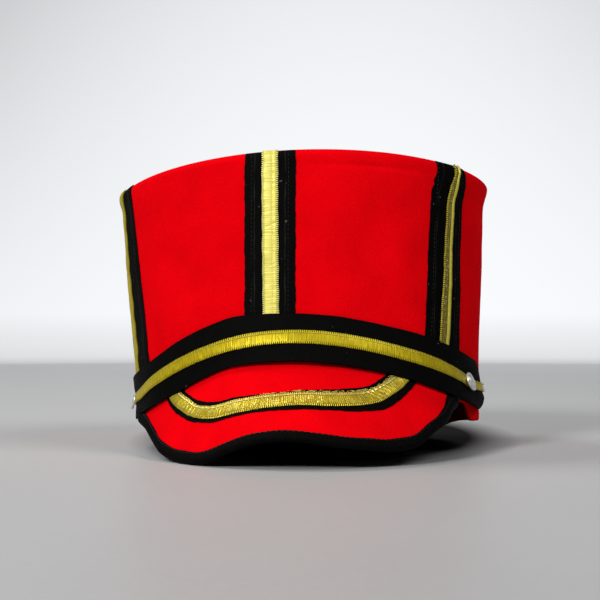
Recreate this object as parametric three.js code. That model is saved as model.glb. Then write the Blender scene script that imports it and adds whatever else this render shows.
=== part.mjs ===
// A velvet peaked cap: a tall, hollow, slightly flared crown with six ribbon stripes, an arched
// strap with a button at each end, and a turned-down peak with a bound edge and a ribbon trim.
// Millimetres, +Z up, front towards -Y, the wearer's left towards +X. The cap stands on the rear
// of its hem and on one corner of its peak, so it leans back and a little to its -X side.
import * as THREE from 'three';

// ---- driving sizes ----

const GAP = 0.3; // between neighbouring pieces

const CROWN = {
  halfWidth: 91, // of the oval at the floor
  halfDepth: 87,
  flareWidth: 0.0635, // gain of each half size per mm of height
  flareDepth: 0.024,
  leanRight: 0.036, // drift of the oval's centre per mm of height, towards -X
  leanBack: 0.109, // and towards +Y
  wall: 2.4,
  edgeRadius: 4, // of the soft top edge
  lip: 1.5, // turned in past that radius, where the top panel starts
};

// The rim's height goes round as a level, a slope up to the front, one up to +X, and a wave.
const RIM = { level: 142, toFront: 9, toLeft: 4, wave: 2.8 };

// The hem: it lies on the floor at the back and arches up over the peak.
const HEM = [
  { azimuth: -180, height: 0 },
  { azimuth: -132, height: 0 },
  { azimuth: -116, height: 5.5 },
  { azimuth: -100, height: 12.5 },
  { azimuth: -80, height: 15.6 },
  { azimuth: -62, height: 18.4 },
  { azimuth: -45, height: 28 },
  { azimuth: -25, height: 42 },
  { azimuth: 0, height: 48 },
  { azimuth: 25, height: 42 },
  { azimuth: 45, height: 28 },
  { azimuth: 62, height: 17.5 },
  { azimuth: 85, height: 14.2 },
  { azimuth: 110, height: 7.5 },
  { azimuth: 134, height: 0 },
  { azimuth: 180, height: 0 },
];

// Soft swells (out above 0) and dents (out below 0) of the crown, each a bell of this size.
const SWELLS = [
  { azimuth: 86, height: 140, degrees: 34, tall: 9, out: 2.6 },
  { azimuth: -90, height: 134, degrees: 34, tall: 8, out: 1.4 },
  { azimuth: 24, height: 112, degrees: 9, tall: 26, out: -1.4 },
  { azimuth: 29, height: 88, degrees: 7, tall: 20, out: -1 },
  { azimuth: -40, height: 96, degrees: 14, tall: 30, out: -0.8 },
  { azimuth: 150, height: 80, degrees: 22, tall: 34, out: -1.6 },
];

// Six stripes up the crown: azimuths at the foot and the head of the black ribbon and of the gold
// one on it, and the black ribbon's width.
const STRIPES = [
  { foot: -8.5, head: -6.5, goldFoot: -8, goldHead: -6.5, width: 25.8 },
  { foot: 49.8, head: 52.8, goldFoot: 49.6, goldHead: 53.6, width: 27.5 },
  { foot: 112, head: 112, goldFoot: 112, goldHead: 112, width: 25.4 },
  { foot: 172, head: 172, goldFoot: 172, goldHead: 172, width: 25.4 },
  { foot: -128, head: -128, goldFoot: -128, goldHead: -128, width: 25.4 },
  { foot: -66.6, head: -71, goldFoot: -68.8, goldHead: -71.4, width: 27.5 },
];
const RIBBON = { thickness: 0.6, goldWidth: 7.8, hemMargin: 1.2 };

// The strap: heights of its top and lower edge, and how far its lower edge's face stands off the
// crown, where the strap bridges from the crown to the peak.
const STRAP = [
  { azimuth: -106, top: 34.4, lower: 14.2, stand: 1.8 },
  { azimuth: -92, top: 35.6, lower: 15, stand: 2 },
  { azimuth: -78, top: 38, lower: 15.6, stand: 2.6 },
  { azimuth: -64, top: 43, lower: 19.2, stand: 4.6 },
  { azimuth: -52, top: 49.6, lower: 24.6, stand: 6.4 },
  { azimuth: -40, top: 58, lower: 32, stand: 6.4 },
  { azimuth: -30, top: 64.6, lower: 39.4, stand: 6.8 },
  { azimuth: -20, top: 70, lower: 45.6, stand: 7.6 },
  { azimuth: -10, top: 71.6, lower: 48.3, stand: 9.6 },
  { azimuth: 0, top: 72, lower: 48.9, stand: 10.3 },
  { azimuth: 10, top: 70.8, lower: 47.4, stand: 9.4 },
  { azimuth: 20, top: 68.2, lower: 44.6, stand: 8.8 },
  { azimuth: 32, top: 64, lower: 39.8, stand: 7.6 },
  { azimuth: 44, top: 59.4, lower: 34.2, stand: 6.2 },
  { azimuth: 56, top: 53.8, lower: 28.3, stand: 5.2 },
  { azimuth: 68, top: 48.2, lower: 23.6, stand: 4.6 },
  { azimuth: 80, top: 45.4, lower: 21.2, stand: 3.4 },
  { azimuth: 92, top: 44.4, lower: 20.4, stand: 3 },
];
const BAND = {
  thickness: 1.2,
  rightEnd: -97, // azimuths, at mid width
  leftEnd: 76,
  leftSkew: 4, // the left end is cut askew: longer below, shorter above
  goldShare: 0.305, // the gold ribbon's share of the width
};
const BUTTON = { radius: 5, thickness: 2.4, rim: 0.9, rightAzimuth: -80.5, leftAzimuth: 63.5 };

// The peak's bound edge: how far it reaches past the crown's wall, and its lowest point; and how
// far the peak is bowed up between the edge and the crown.
const EDGE = [
  { azimuth: -60, reach: 7.8, height: 13.4, bow: 0 },
  { azimuth: -52, reach: 11, height: 11.8, bow: 0 },
  { azimuth: -44, reach: 16.8, height: 8, bow: 0 },
  { azimuth: -37, reach: 24.5, height: 4, bow: 0 },
  { azimuth: -30, reach: 31, height: 0.3, bow: 0 },
  { azimuth: -25, reach: 36, height: 0, bow: 0 },
  { azimuth: -20, reach: 40.5, height: 1.4, bow: -0.4 },
  { azimuth: -14, reach: 45.5, height: 7, bow: -1.6 },
  { azimuth: -7, reach: 49.2, height: 12, bow: -2.8 },
  { azimuth: 0, reach: 50, height: 12.8, bow: -3.2 },
  { azimuth: 7, reach: 49.2, height: 10.5, bow: -2.6 },
  { azimuth: 14, reach: 45.5, height: 8.4, bow: -1.6 },
  { azimuth: 21, reach: 39.5, height: 7.2, bow: -0.4 },
  { azimuth: 27, reach: 34, height: 8.6, bow: 0 },
  { azimuth: 33, reach: 28, height: 14, bow: 0 },
  { azimuth: 40, reach: 20.5, height: 18.4, bow: 0 },
  { azimuth: 47, reach: 13, height: 22.8, bow: 0 },
  { azimuth: 54, reach: 8.4, height: 23, bow: 0 },
];
const PEAK = {
  velvet: 1.2,
  between: 0.35,
  lining: 0.8,
  tape: 0.6,
  leg: 5, // of the binding, on the top face
  underLeg: 3, // and under the peak
  strapClearance: 2.2, // from the peak's top face to the strap's lower edge
};

// The trim on the peak: its middle line, by its distance up from the peak's edge.
const TRIM = [
  { azimuth: -39, inset: 27.8 },
  { azimuth: -30, inset: 28 },
  { azimuth: -22, inset: 27.2 },
  { azimuth: -12, inset: 25.8 },
  { azimuth: 0, inset: 26.6 },
  { azimuth: 8, inset: 28.8 },
  { azimuth: 16, inset: 31.8 },
  { azimuth: 24, inset: 33.8 },
  { azimuth: 31, inset: 34 },
];
const TRIM_WIDTH = { black: 12.4, gold: 7.8, goldDown: 1.2 }; // the gold lies below the middle

const COLOUR = { velvet: 0xd4000c, black: 0x0b0d0c, gold: 0xc9a93a, metal: 0xd9d5c8 };

// ---- helpers ----

const DEGREE = Math.PI / 180;

// Reads a column of a table at an azimuth, on a smooth curve through its rows.
function read(rows, column, azimuth) {
  const last = rows.length - 1;
  let row = 0;
  while (row < last - 1 && rows[row + 1].azimuth < azimuth) row += 1;
  const slope = (k) => {
    const before = rows[Math.max(k - 1, 0)];
    const after = rows[Math.min(k + 1, last)];
    return (after[column] - before[column]) / (after.azimuth - before.azimuth);
  };
  const [from, to] = [rows[row], rows[row + 1]];
  const span = to.azimuth - from.azimuth;
  const t = THREE.MathUtils.clamp((azimuth - from.azimuth) / span, 0, 1);
  const [t2, t3] = [t * t, t * t * t];
  return (2 * t3 - 3 * t2 + 1) * from[column] + (t3 - 2 * t2 + t) * span * slope(row)
    + (3 * t2 - 2 * t3) * to[column] + (t3 - t2) * span * slope(row + 1);
}

const steps = (count) => Array.from({ length: count + 1 }, (_, k) => k / count);
const mix = (from, to, t) => from + (to - from) * t;
const bell = (distance) => Math.exp(-2 * distance * distance);
const wrap = (azimuth) => THREE.MathUtils.euclideanModulo(azimuth + 180, 360) - 180;

function swell(azimuth, height) {
  return SWELLS.reduce((sum, row) => sum + row.out
    * bell(wrap(azimuth - row.azimuth) / row.degrees) * bell((height - row.height) / row.tall), 0);
}

// A point near the crown: azimuth in degrees from the front towards +X, height above the floor,
// and how far out from the wall's outer face.
function spot(azimuth, height, out = 0) {
  const angle = azimuth * DEGREE;
  const halfWidth = CROWN.halfWidth + CROWN.flareWidth * height;
  const halfDepth = CROWN.halfDepth + CROWN.flareDepth * height;
  const outward = new THREE.Vector3(Math.sin(angle) / halfWidth, -Math.cos(angle) / halfDepth, 0);
  const onWall = new THREE.Vector3(
    halfWidth * Math.sin(angle) - CROWN.leanRight * height,
    CROWN.leanBack * height - halfDepth * Math.cos(angle),
    height,
  );
  return onWall.addScaledVector(outward.normalize(), out + swell(azimuth, height));
}

function rimHeight(azimuth) {
  const angle = azimuth * DEGREE;
  return RIM.level + RIM.toFront * Math.cos(angle) + RIM.toLeft * Math.sin(angle)
    + RIM.wave * Math.cos(2 * angle);
}

// Degrees of azimuth that a width in mm takes on the crown at this place.
function degreesFor(width, azimuth, height) {
  return width / spot(azimuth - 0.5, height).distanceTo(spot(azimuth + 0.5, height));
}

const hemHeight = (azimuth) => Math.max(0, read(HEM, 'height', wrap(azimuth)));

// Skins a row of stations into one closed solid. Each station has a flat loop of [u, v] pairs and
// a function that places a pair in space. Unless the row joins up as a ring, its ends are capped
// by strips between the first half of the loop and the second, so both halves need equal counts.
function loft(stations, ring = false) {
  const count = stations[0].loop.length;
  const points = stations.flatMap(({ loop, place }) => loop.map(([u, v]) => place(u, v)));
  const faces = [];
  const rows = ring ? stations.length : stations.length - 1;
  for (let row = 0; row < rows; row += 1) {
    const [near, far] = [row * count, ((row + 1) % stations.length) * count];
    for (let k = 0; k < count; k += 1) {
      const next = (k + 1) % count;
      const [a, b, c, d] = [near + k, near + next, far + next, far + k];
      // the two halves of the loop are split along the same diagonal, so neighbours stay parallel
      faces.push(...(k < count / 2 ? [[a, b, c], [a, c, d]] : [[a, b, d], [b, c, d]]));
    }
  }
  if (!ring) {
    const last = (stations.length - 1) * count;
    for (let k = 0; k < count / 2 - 1; k += 1) {
      const [p, q] = [count - 1 - k, count - 2 - k]; // opposite k and k + 1
      faces.push([k, p, k + 1], [k + 1, p, q]);
      faces.push([last + k, last + k + 1, last + p], [last + k + 1, last + q, last + p]);
    }
  }
  return solid(points, faces);
}

// A geometry from points and faces, turned inside out if its faces point in.
function solid(points, faces) {
  const volume = faces.reduce(
    (sum, [a, b, c]) => sum + points[a].dot(new THREE.Vector3().crossVectors(points[b], points[c])),
    0,
  );
  const outward = volume > 0 ? faces : faces.map(([a, b, c]) => [a, c, b]);
  const geometry = new THREE.BufferGeometry().setFromPoints(points);
  geometry.setIndex(outward.flat());
  geometry.computeVertexNormals();
  return geometry;
}

// A rectangle as a loop of [u, v] pairs, with its long sides in several steps.
function slab(uFrom, uTo, vFrom, vTo, count) {
  const across = steps(count).map((t) => mix(uFrom, uTo, t));
  return [...across.map((u) => [u, vFrom]), ...across.reverse().map((u) => [u, vTo])];
}

const cap = new THREE.Group();

function add(name, geometry, kind) {
  const metal = kind === 'metal';
  const material = new THREE.MeshStandardMaterial({
    color: COLOUR[kind],
    roughness: { velvet: 0.95, black: 0.6, gold: 0.4, metal: 0.25 }[kind],
    metalness: metal ? 1 : 0,
  });
  const mesh = new THREE.Mesh(geometry, material);
  mesh.name = name;
  cap.add(mesh);
}

// ---- crown ----

// Levels of the wall, as shares of its height, and turns of its soft top edge, in degrees.
const LEVELS = [0, 0.2, 0.4, 0.6, 0.74, 0.85, 0.93, 0.97, 1];
const EDGE_TURNS = [30, 60, 85];

function crownSide() {
  const { wall, edgeRadius, lip } = CROWN;
  const stations = steps(72).slice(0, -1).map((turn) => {
    const azimuth = 360 * turn - 180;
    const [hem, rim] = [hemHeight(azimuth), rimHeight(azimuth)];
    const shoulder = rim - edgeRadius;
    const outer = LEVELS.map((t) => [0, mix(hem, shoulder, t)]);
    const edge = EDGE_TURNS.map((turned) => [
      edgeRadius * (Math.cos(turned * DEGREE) - 1),
      shoulder + edgeRadius * Math.sin(turned * DEGREE),
    ]);
    const lipEnd = -edgeRadius - lip;
    const inner = [0.97, 0.6, 0].map((t) => [-wall, mix(hem, shoulder, t)]);
    const loop = [...outer, ...edge, [lipEnd, rim], [lipEnd, rim - wall], ...inner];
    return { loop, place: (out, height) => spot(azimuth, height, out) };
  });
  return loft(stations, true);
}

// The top panel: rings from the middle of its underside out to its edge and back over its top.
function crownTop() {
  const { wall, edgeRadius, lip } = CROWN;
  const panel = { sink: 0.4, dish: 2.5, thickness: wall - 0.8, hub: 0.06 };
  const middle = spot(90, RIM.level).add(spot(-90, RIM.level)).multiplyScalar(0.5);
  const around = steps(60).slice(0, -1).map((turn) => 360 * turn - 180);
  const edgeOut = -edgeRadius - lip - GAP;
  const ringAt = (share, drop) => {
    const points = around.map((azimuth) => {
      const edge = spot(azimuth, rimHeight(azimuth) - panel.sink - drop, edgeOut);
      const dished = middle.clone();
      dished.z -= panel.sink + drop + panel.dish * (1 - share);
      return dished.lerp(edge, share);
    });
    return { loop: points.map((_, k) => [k, 0]), place: (k) => points[k] };
  };
  const shares = [panel.hub, 0.5, 1];
  return loft([
    ...shares.map((share) => ringAt(share, panel.thickness)),
    ...shares.slice().reverse().map((share) => ringAt(share, 0)),
  ]);
}

// ---- stripes ----

const strapTop = (azimuth) => read(STRAP, 'top', azimuth);
const underStrap = (azimuth) => azimuth > BAND.rightEnd && azimuth < BAND.leftEnd;

// A ribbon up the crown and over its top edge. `ends` are the azimuths of its foot and its head.
function stripe(ends, width, lift) {
  const { edgeRadius } = CROWN;
  const columns = width > 12 ? 6 : 3;
  const footAt = (azimuth) => (underStrap(azimuth)
    ? strapTop(azimuth) + GAP
    : hemHeight(azimuth) + RIBBON.hemMargin);
  const shareOf = (azimuth, height) => {
    const hem = hemHeight(azimuth);
    return (height - hem) / (rimHeight(azimuth) - edgeRadius - hem);
  };
  const foot = shareOf(ends[0], footAt(ends[0]));
  const rows = [
    { level: foot, turned: 0 },
    ...LEVELS.filter((level) => level > foot + 0.06).map((level) => ({ level, turned: 0 })),
    ...EDGE_TURNS.map((turned) => ({ level: 1, turned: turned * DEGREE })),
  ];
  return loft(rows.map(({ level, turned }, k) => ({
    loop: slab(-0.5, 0.5, lift, lift + RIBBON.thickness, columns),
    place: (share, above) => {
      const middle = mix(ends[0], ends[1], (level - foot) / (1 - foot));
      const azimuth = middle + share * degreesFor(width, middle, mix(strapTop(middle), RIM.level, level));
      const shoulder = rimHeight(azimuth) - edgeRadius;
      const straight = k === 0 ? footAt(azimuth) : mix(hemHeight(azimuth), shoulder, level);
      const height = straight + (edgeRadius + above) * Math.sin(turned);
      return spot(azimuth, height, edgeRadius * (Math.cos(turned) - 1) + above * Math.cos(turned));
    },
  })));
}

// ---- strap and buttons ----

// The strap's face at an azimuth, as a straight line in the plane of out and height. `across` goes
// from -1 at its lower edge to 1 at its top edge, `lift` is above its outer face.
function strapPoint(azimuth, across, lift) {
  const top = new THREE.Vector2(GAP + BAND.thickness, strapTop(azimuth));
  const lower = new THREE.Vector2(read(STRAP, 'stand', azimuth), read(STRAP, 'lower', azimuth));
  const up = top.clone().sub(lower).normalize();
  const point = lower.lerp(top, (across + 1) / 2);
  return point.add(new THREE.Vector2(up.y, -up.x).multiplyScalar(lift));
}

function strapSpot(t, across, lift) {
  const azimuth = mix(BAND.rightEnd, BAND.leftEnd - BAND.leftSkew * across, t);
  const { x: out, y: height } = strapPoint(azimuth, across, lift);
  return spot(azimuth, height, out);
}

function strap(share, lift, thickness) {
  return loft(steps(64).map((t) => ({
    loop: slab(-share, share, lift, lift + thickness, 1),
    place: (across, above) => strapSpot(t, across, above),
  })));
}

// A domed metal button, lying flat on the strap's gold ribbon.
function button(azimuth) {
  const { radius, thickness, rim } = BUTTON;
  const profile = [
    [0, 0], [radius - 0.6, 0], [radius, 0.5], [radius, 1], [radius - rim, 1.3],
    [radius - rim - 0.3, 1], [radius - 2 * rim, 1.5], [radius * 0.45, thickness - 0.3], [0, thickness],
  ].map(([x, y]) => new THREE.Vector2(x, y));
  const geometry = new THREE.LatheGeometry(profile, 20);
  const seat = 3 * GAP + RIBBON.thickness;
  const at = (across, lift) => {
    const { x: out, y: height } = strapPoint(azimuth, across, lift);
    return spot(azimuth, height, out);
  };
  const base = at(0, seat);
  const facing = at(0, seat + 1).sub(base).normalize();
  geometry.applyQuaternion(new THREE.Quaternion().setFromUnitVectors(new THREE.Vector3(0, 1, 0), facing));
  return geometry.translate(base.x, base.y, base.z);
}

// ---- peak ----

const SHEET = PEAK.velvet + PEAK.between + PEAK.lining; // thickness of the peak without its binding
const NOSE = SHEET / 2 + GAP + PEAK.tape; // outer radius of the bound edge

// The peak's section at an azimuth, in the plane of out and height: a straight line from the middle
// of the bound edge up to the crown, under the strap's lower edge.
function ruling(azimuth) {
  const nose = new THREE.Vector2(
    read(EDGE, 'reach', azimuth) - NOSE,
    Math.max(0, read(EDGE, 'height', azimuth)) + NOSE,
  );
  const toStrap = strapPoint(azimuth, -1, -BAND.thickness).sub(nose);
  const drop = Math.asin((SHEET / 2 + PEAK.strapClearance) / toStrap.length());
  const up = toStrap.normalize().rotateAround(new THREE.Vector2(), drop);
  const normal = new THREE.Vector2(up.y, -up.x);
  return { nose, up, normal, length: (nose.x - GAP) / -up.x, bow: read(EDGE, 'bow', azimuth) };
}

// A point of the peak: its distance up from the edge, and its lift above the middle of the sheet.
function peakSpot(azimuth, inset, lift) {
  const { nose, up, normal, length, bow } = ruling(azimuth);
  const share = THREE.MathUtils.clamp(inset / length, 0, 1);
  const away = lift + 4 * bow * share * (1 - share);
  const out = nose.x + up.x * inset + normal.x * away;
  return spot(azimuth, nose.y + up.y * inset + normal.y * away, out);
}

// The distance up from the edge at which a layer of the peak meets the crown.
function seamInset(azimuth, lift) {
  const { nose, up, normal } = ruling(azimuth);
  return (nose.x + normal.x * lift - GAP) / -up.x;
}

const peakAzimuths = steps(48).map((t) => mix(EDGE[0].azimuth, EDGE[EDGE.length - 1].azimuth, t));

function peakLayer(liftLow, liftHigh, count) {
  return loft(peakAzimuths.map((azimuth) => ({
    loop: slab(0, 1, liftLow, liftHigh, count),
    place: (share, lift) => peakSpot(azimuth, share * seamInset(azimuth, lift), lift),
  })));
}

// The binding: a tape folded round the edge, with a leg on each face of the peak.
function binding() {
  const inside = SHEET / 2 + GAP;
  const round = (radius, turns) => turns.map((turned) => [
    -radius * Math.sin(turned * DEGREE), radius * Math.cos(turned * DEGREE),
  ]);
  const loop = [
    [PEAK.leg, NOSE], ...round(NOSE, [0, 60, 120, 180]), [PEAK.underLeg, -NOSE],
    [PEAK.underLeg, -inside], ...round(inside, [180, 120, 60, 0]), [PEAK.leg, inside],
  ];
  return loft(peakAzimuths.map((azimuth) => ({
    loop,
    place: (inset, lift) => peakSpot(azimuth, inset, lift),
  })));
}

// The trim: a ribbon along its middle line, lying on the peak's top face.
function trim(width, lift, down = 0) {
  const [from, to] = [TRIM[0].azimuth, TRIM[TRIM.length - 1].azimuth];
  const top = SHEET / 2;
  const insetAt = (azimuth) => read(TRIM, 'inset', azimuth);
  const stations = steps(34).map((t) => {
    const azimuth = mix(from, to, t);
    const inset = insetAt(azimuth);
    const here = peakSpot(azimuth, inset, top);
    const perDegree = peakSpot(azimuth + 1, inset, top).sub(here);
    const perInset = peakSpot(azimuth, inset + 1, top).sub(here);
    const along = peakSpot(azimuth + 1, insetAt(azimuth + 1), top).sub(here).normalize();
    const side = new THREE.Vector3().crossVectors(perDegree, perInset).cross(along).normalize();
    // side as steps of azimuth and of inset, by solving in the face's two directions
    const [dd, di, ii] = [perDegree.dot(perDegree), perDegree.dot(perInset), perInset.dot(perInset)];
    const [sd, si] = [side.dot(perDegree), side.dot(perInset)];
    const determinant = dd * ii - di * di;
    const degrees = (sd * ii - si * di) / determinant;
    const insets = (si * dd - sd * di) / determinant;
    return {
      loop: slab(-width / 2 - down, width / 2 - down, lift, lift + RIBBON.thickness, width > 10 ? 4 : 2),
      place: (across, above) => peakSpot(azimuth + degrees * across, inset + insets * across, top + above),
    };
  });
  return loft(stations);
}

// ---- the cap ----

add('crown_side', crownSide(), 'velvet');
add('crown_top', crownTop(), 'velvet');
const goldLift = 2 * GAP + RIBBON.thickness;
STRIPES.forEach((row, k) => {
  add(`stripe_black_${k + 1}`, stripe([row.foot, row.head], row.width, GAP), 'black');
  add(`stripe_gold_${k + 1}`, stripe([row.goldFoot, row.goldHead], RIBBON.goldWidth, goldLift), 'gold');
});
add('strap_black', strap(1, -BAND.thickness, BAND.thickness), 'black');
add('strap_gold', strap(BAND.goldShare, GAP, RIBBON.thickness), 'gold');
add('button_left', button(BUTTON.leftAzimuth), 'metal');
add('button_right', button(BUTTON.rightAzimuth), 'metal');
add('peak_top', peakLayer(SHEET / 2 - PEAK.velvet, SHEET / 2, 4), 'velvet');
add('peak_lining', peakLayer(-SHEET / 2, PEAK.lining - SHEET / 2, 4), 'black');
add('peak_binding', binding(), 'black');
add('trim_black', trim(TRIM_WIDTH.black, GAP), 'black');
add('trim_gold', trim(TRIM_WIDTH.gold, goldLift, TRIM_WIDTH.goldDown), 'gold');

// The origin is under the middle of the cap's box, on the floor.
const box = new THREE.Box3().setFromObject(cap, true);
cap.position.set(-(box.min.x + box.max.x) / 2, -(box.min.y + box.max.y) / 2, -box.min.z);

export default cap;
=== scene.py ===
"""A velvet peaked cap, in the cloth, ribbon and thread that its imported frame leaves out.

The forms are worked out in millimetres and degrees of azimuth, counted from the cap's front
towards the wearer's left (+X), and set on the frame by the crown's own box.
"""

import math
from functools import partial

import bpy
import numpy as np
from mathutils import Matrix, Vector


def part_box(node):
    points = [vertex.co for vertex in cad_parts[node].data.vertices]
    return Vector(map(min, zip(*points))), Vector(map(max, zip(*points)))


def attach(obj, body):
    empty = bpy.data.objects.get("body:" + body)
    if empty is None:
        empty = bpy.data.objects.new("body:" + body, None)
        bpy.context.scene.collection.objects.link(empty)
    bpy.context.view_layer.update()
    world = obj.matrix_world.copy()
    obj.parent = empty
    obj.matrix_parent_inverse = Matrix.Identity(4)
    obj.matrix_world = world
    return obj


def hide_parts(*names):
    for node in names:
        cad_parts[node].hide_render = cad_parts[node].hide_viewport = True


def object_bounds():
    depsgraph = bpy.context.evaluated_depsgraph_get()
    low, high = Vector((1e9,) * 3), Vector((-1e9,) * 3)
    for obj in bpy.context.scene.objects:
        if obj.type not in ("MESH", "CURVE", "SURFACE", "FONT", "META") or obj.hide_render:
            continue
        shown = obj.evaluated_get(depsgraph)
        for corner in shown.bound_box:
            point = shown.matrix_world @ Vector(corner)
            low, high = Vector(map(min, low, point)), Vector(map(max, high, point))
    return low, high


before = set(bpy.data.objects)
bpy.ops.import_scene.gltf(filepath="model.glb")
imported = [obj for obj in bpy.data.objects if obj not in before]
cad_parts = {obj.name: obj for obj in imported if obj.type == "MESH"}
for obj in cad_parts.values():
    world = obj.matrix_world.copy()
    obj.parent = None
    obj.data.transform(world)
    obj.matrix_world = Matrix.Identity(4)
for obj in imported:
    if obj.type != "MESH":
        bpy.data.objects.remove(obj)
CAD_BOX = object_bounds()

MM = 0.001


def table(columns, *rows):
    """A table with named columns, a row for each section."""
    return {name: np.array(values, float) for name, values in zip(columns.split(), zip(*rows))}


# ---- sizes ----

CROWN = {
    "half_width": 91,  # of the oval at the floor
    "half_depth": 87,
    "flare_width": 0.0635,  # gain of each half size per mm of height
    "flare_depth": 0.024,
    "lean_right": 0.036,  # drift of the oval's centre per mm of height, towards -X
    "lean_back": 0.109,
    "wall": 2.4,
    "edge_radius": 4,
    "lip": 1.5,
}
RIM = {"level": 142, "to_front": 9, "to_left": 4, "wave": 2.8}
# The height of the crown's lower edge.
HEM = table(
    "azimuth height",
    (-180, 0),
    (-132, 0),
    (-116, 5.5),
    (-100, 12.5),
    (-80, 15.6),
    (-62, 18.4),
    (-45, 28),
    (-25, 42),
    (0, 48),
    (25, 42),
    (45, 28),
    (60, 26.3),
    (65, 24.6),
    (69, 17),
    (73, 15.6),
    (80, 15),
    (88, 14.4),
    (104, 13),
    (118, 10.6),
    (132, 4),
    (146, 0),
    (180, 0),
)
# Soft swells and dents of the crown: their middles, their sizes round and up it, and their depths.
SWELLS = table(
    "azimuth height degrees tall out",
    (86, 140, 34, 9, 2.6),
    (-90, 134, 34, 8, 1.4),
    (-85, 94, 13, 36, -1.1),
    (24, 112, 9, 26, -1.4),
    (29, 88, 7, 20, -1),
    (-40, 96, 14, 30, -0.8),
    (150, 80, 22, 34, -1.6),
)
# One of the creases under the top edge, in front.
CREASE = {"azimuth": 24, "degrees": 26, "below": 8, "tall": 1.5, "deep": 0.75}
# The six stripes: azimuths at the foot and head of both ribbons, and the black ribbon's width.
STRIPES = table(
    "foot head gold_foot gold_head width",
    (-8.5, -6.5, -8, -6.5, 25.8),
    (49.8, 52.8, 49.6, 53.6, 27.5),
    (112, 112, 112, 112, 25.4),
    (172, 172, 172, 172, 25.4),
    (-128, -128, -128, -128, 25.4),
    (-66.6, -71, -70.6, -73.4, 27.5),
)
# The strap: its edges' heights, how far its lower edge stands off the crown, and its gold ribbon's
# shift from the middle and width.
STRAP = table(
    "azimuth top lower stand gold gold_wide",
    (-106, 34.4, 14.2, 1.2, -1.6, 5.4),
    (-92, 35.6, 15, 1.3, -0.4, 5.2),
    (-78, 38, 15.6, 2, -1.3, 5.6),
    (-64, 43, 19.2, 4.4, -1.6, 6.4),
    (-52, 49.6, 24.6, 6.4, 0.2, 7.2),
    (-40, 58, 32, 6.4, 0.5, 7.4),
    (-30, 64.6, 39.4, 6.8, -0.5, 7.4),
    (-20, 70, 45.6, 7.6, -1.3, 7.4),
    (-10, 71.6, 48.3, 9.6, -0.3, 7.4),
    (0, 72, 48.9, 10.3, 0, 7.4),
    (10, 70.8, 47.4, 9.4, 0.3, 7.4),
    (20, 68.2, 44.6, 8.8, 0.1, 7.4),
    (32, 64, 39.8, 7.6, -0.1, 7.4),
    (44, 59.4, 34.2, 6.2, -0.3, 7.2),
    (56, 53.8, 28.3, 5.2, -0.7, 6.2),
    (68, 48.2, 23.6, 4.6, -1, 5.4),
    (80, 45.4, 21.2, 3.4, -1, 4.8),
    (92, 44.4, 20.4, 3, -1, 4.8),
)
# How far the second stripe's edges wander, in mm, by the share of its run.
SECOND_STRIPE = table(
    "share black_low black_high gold_low gold_high",
    (0, 0, 0, -3.7, 3.6),
    (0.15, 0, -0.6, -3.6, 3.5),
    (0.46, 0, -1.4, -3, 3.1),
    (0.72, 0, -1.5, -2.8, 2.8),
    (0.79, 0, -1.4, -2.7, 2.8),
    (0.84, 0.3, -0.8, -1.7, 3.8),
    (0.87, 2, -0.6, -1.3, 4.2),
    (0.885, 0.8, -0.5, -1.1, 4.4),
    (0.92, 2.7, -0.4, 0.4, 4.7),
    (0.96, 3, -0.4, 1.9, 5.8),
    (1, 3.2, -0.4, 3, 6.7),
)
BAND = {
    "thickness": 1.2,
    "half_width": 12,  # about, where a size in mm is turned into a share of it
    "right_end": -97,  # azimuths of the strap's cut ends
    "left_end": 76,
    "left_skew": 4,  # of the left cut, in degrees from the middle to an edge
    "left_curl": 2.0,  # of the left end's lower corner, towards the crown
}
BUTTON = {
    "radius": 5,
    "thickness": 2.2,
    "rim": 0.9,
    "right": -80.5,
    "left": 63.5,
    "tilt": 0.35,  # of the face, up and outwards
    "press": 1.7,  # how deep it draws the strap in
}
# The peak's edge: how far out and how high it is, and how far the sheet bows above a straight line.
EDGE = table(
    "azimuth reach height bow",
    (-60, 7.8, 15.2, 0),
    (-52, 11.2, 12.4, 0),
    (-44, 17.6, 7.4, 0),
    (-37, 25.2, 3, 0),
    (-30, 31, 0.3, 0),
    (-25, 36, 0, 0),
    (-20, 40.5, 1.4, -0.4),
    (-14, 45.5, 7, -1.6),
    (-7, 49.2, 12, -2.8),
    (0, 50, 12.8, -3.2),
    (7, 49.2, 10.5, -2.6),
    (14, 45.5, 8.4, -1.6),
    (21, 39.5, 7.2, -0.4),
    (27, 34, 8.6, 0),
    (33, 28, 14, 0),
    (40, 20.5, 18.4, 0),
    (46, 12.8, 22.4, 0),
    (51, 8.2, 24, 0),
)
PEAK = {
    "velvet": 1.2,
    "between": 0.35,
    "lining": 0.8,
    "tape": 0.6,
    "leg": 3.8,  # the tape's width on the top face
    "under_leg": 3,
    "strap_clearance": 1,
}
# The trim: its middle line's distance from the peak's edge, the gold's width, and how much black
# shows above and below it.
TRIM = table(
    "azimuth inset gold above below",
    (-46, 27.4, 6.6, 2, 1.2),
    (-40, 27.4, 6.8, 2, 1.9),
    (-34, 27.4, 7, 1.8, 2.4),
    (-29, 26.2, 6.6, 2.6, 2.4),
    (-24, 26.3, 7.2, 2.8, 2.3),
    (-18, 27.1, 8.8, 2.2, 1.9),
    (-12, 26.7, 9.4, 1.5, 1.9),
    (-6, 26.9, 9.4, 1.2, 2.4),
    (0, 28.5, 9.6, 1.4, 2.8),
    (7, 30.1, 9.7, 2.2, 3),
    (14, 30.4, 9, 2.8, 3.8),
    (19, 31, 8.2, 2.7, 4.7),
    (24, 33.6, 7.4, 2.6, 4),
    (29, 35, 7.2, 2.6, 3.2),
    (34, 35.4, 6.8, 2.6, 3),
)
TRIM_SLANT = {"left": -0.45, "right": -0.4}  # of the ends' cuts, in degrees of azimuth per mm across
GAP = 0.3  # of air between the crown and what is set on it
GOLD_WIDTH = 8.0
GOLD_THICKNESS = 0.35
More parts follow.
